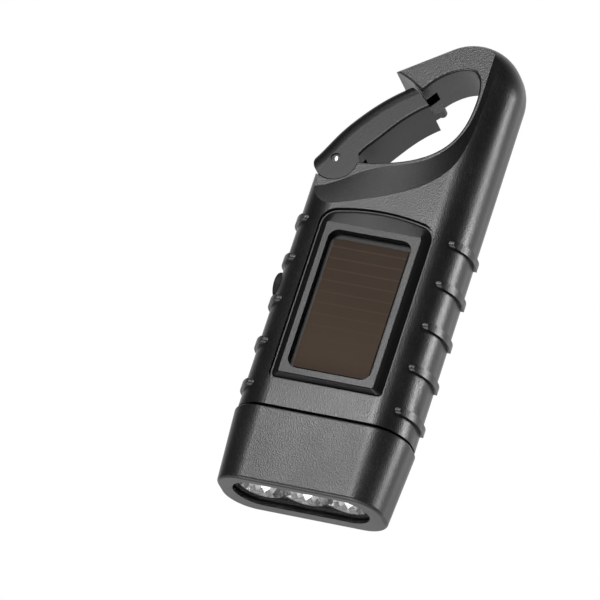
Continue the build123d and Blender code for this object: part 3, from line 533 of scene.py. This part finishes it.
def soft_lamp(name, place, aim, power, width, length):
    light = bpy.data.lights.new(name, "AREA")
    light.shape = "RECTANGLE"
    light.size, light.size_y = width, length
    light.energy = power
    lamp = bpy.data.objects.new(name, light)
    bpy.context.scene.collection.objects.link(lamp)
    direction = Vector(aim) - Vector(place)
    turn = direction.to_track_quat("-Z", "Y").to_matrix().to_4x4()
    lamp.matrix_world = Matrix.Translation(place) @ turn


class FLASHLIGHT_OT_stage(bpy.types.Operator):
    """Pale floor, white surroundings, soft lamps and the camera"""

    bl_idname = "flashlight.stage"
    bl_label = "Stage"

    def execute(self, context):
        stage = context.scene.flashlight_stage
        self.floor()
        self.world(context, stage)
        self.lamps(stage)
        self.camera(context, stage)
        context.scene.view_settings.view_transform = "Standard"
        return {"FINISHED"}

    def floor(self):
        """Floor that shows from above and takes shadows, and lets light through from below."""
        mesh = bpy.data.meshes.new("floor")
        shape = bmesh.new()
        bmesh.ops.create_grid(shape, x_segments=1, y_segments=1, size=FLOOR_HALF_WIDTH)
        shape.to_mesh(mesh)
        shape.free()
        floor = bpy.data.objects.new("floor", mesh)
        bpy.context.scene.collection.objects.link(floor)
        material, tree, shader = new_material("Pale floor")
        shader.inputs["Base Color"].default_value = (FLOOR_TONE, FLOOR_TONE, FLOOR_TONE, 1)
        shader.inputs["Roughness"].default_value = 0.9
        shader.inputs["Emission Color"].default_value = (1, 1, 1, 1)
        shader.inputs["Emission Strength"].default_value = FLOOR_GLOW
        path = add_node(tree, "ShaderNodeLightPath", (-500, 400))
        side = add_node(tree, "ShaderNodeNewGeometry", (-500, 100))
        above = math_node(tree, "SUBTRACT", 1.0, side.outputs["Backfacing"], (-300, 100))
        shown = math_node(tree, "MULTIPLY", path.outputs["Is Camera Ray"], above, (-100, 300))
        through = add_node(tree, "ShaderNodeBsdfTransparent", (-100, -200))
        mix = add_node(tree, "ShaderNodeMixShader", (300, 100))
        link(tree, shown, mix.inputs["Fac"])
        link(tree, through.outputs["BSDF"], mix.inputs[1])
        link(tree, shader.outputs["BSDF"], mix.inputs[2])
        link(tree, mix.outputs["Shader"], tree.nodes["Material Output"].inputs["Surface"])
        mesh.materials.append(material)

    def world(self, context, stage):
        """White to the camera, through clear parts and in gloss from behind or below; dim elsewhere."""
        world = bpy.data.worlds.new("Studio")
        world.use_nodes = True
        context.scene.world = world
        tree = world.node_tree
        path = add_node(tree, "ShaderNodeLightPath", (-600, 200))
        seen = math_node(
            tree, "MAXIMUM",
            path.outputs["Is Camera Ray"], path.outputs["Is Transmission Ray"], (-400, 200),
        )
        way = add_node(tree, "ShaderNodeTexCoord", (-1000, -200))
        axes = add_node(tree, "ShaderNodeSeparateXYZ", (-800, -200))
        link(tree, way.outputs["Generated"], axes.inputs["Vector"])
        behind = add_node(tree, "ShaderNodeMapRange", (-600, -100), {"From Min": 0.2, "From Max": 0.7})
        link(tree, axes.outputs["Y"], behind.inputs["Value"])
        under = add_node(
            tree, "ShaderNodeMapRange", (-600, -350), {"From Min": -0.1, "From Max": -0.75}
        )
        link(tree, axes.outputs["Z"], under.inputs["Value"])
        pale = math_node(
            tree, "MAXIMUM", behind.outputs["Result"], under.outputs["Result"], (-400, -200)
        )
        gloss = math_node(tree, "MULTIPLY", pale, path.outputs["Is Glossy Ray"], (-200, -200))
        seen = math_node(tree, "MAXIMUM", seen, gloss, (-100, 100))
        strength = add_node(
            tree, "ShaderNodeMapRange", (0, 200), {"To Min": stage.ambient, "To Max": 1.0}
        )
        link(tree, seen, strength.inputs["Value"])
        background = tree.nodes["Background"]
        background.inputs["Color"].default_value = (1, 1, 1, 1)
        link(tree, strength.outputs["Result"], background.inputs["Strength"])

    def lamps(self, stage):
        soft_lamp("key", (-0.12, -0.67, 0.23), LAMPS_AIM, stage.key, width=0.18, length=0.18)
        soft_lamp("side", (0.6, 0.11, 0.25), LAMPS_AIM, stage.side, width=0.06, length=0.22)
        soft_lamp("below", (-0.05, -0.3, -0.45), (0, 0, 0), stage.below, width=0.3, length=0.3)
        soft_lamp("top", (-0.24, -0.38, 0.62), LAMPS_AIM, stage.top, width=0.25, length=0.25)

    def camera(self, context, stage):
        right, up, back = view_axes(stage)
        picture_middle = SIGHT_POINT - right * SIGHT_RIGHT + up * SIGHT_DOWN
        data = bpy.data.cameras.new("camera")
        data.sensor_width = SENSOR_WIDTH
        data.lens = data.sensor_width * stage.distance / stage.frame_width
        camera = bpy.data.objects.new("camera", data)
        context.scene.collection.objects.link(camera)
        turn = Matrix((right, up, back)).transposed().to_4x4()
        camera.matrix_world = Matrix.Translation(picture_middle + back * stage.distance) @ turn
        context.scene.camera = camera


class FLASHLIGHT_PT_panel(bpy.types.Panel):
    bl_label = "Flashlight"
    bl_idname = "FLASHLIGHT_PT_panel"
    bl_space_type = "VIEW_3D"
    bl_region_type = "UI"
    bl_category = "Flashlight"

    def draw(self, context):
        for group in (context.scene.flashlight_finishes, context.scene.flashlight_stage):
            for name in group.__annotations__:
                self.layout.prop(group, name)
        for operator in OPERATORS:
            self.layout.operator(operator.bl_idname)


OPERATORS = (
    FLASHLIGHT_OT_stage,
    FLASHLIGHT_OT_casing,
    FLASHLIGHT_OT_gate,
    FLASHLIGHT_OT_lamps,
    FLASHLIGHT_OT_solar_panel,
    FLASHLIGHT_OT_works,
)
CLASSES = (FlashlightFinishes, FlashlightStage, *OPERATORS, FLASHLIGHT_PT_panel)


def register():
    for cls in CLASSES:
        bpy.utils.register_class(cls)
    bpy.types.Scene.flashlight_finishes = PointerProperty(type=FlashlightFinishes)
    bpy.types.Scene.flashlight_stage = PointerProperty(type=FlashlightStage)


def unregister():
    del bpy.types.Scene.flashlight_stage
    del bpy.types.Scene.flashlight_finishes
    for cls in reversed(CLASSES):
        bpy.utils.unregister_class(cls)


def main():
    register()
    for operator in OPERATORS:
        category, name = operator.bl_idname.split(".")
        getattr(getattr(bpy.ops, category), name)()


if __name__ == "__main__":
    main()
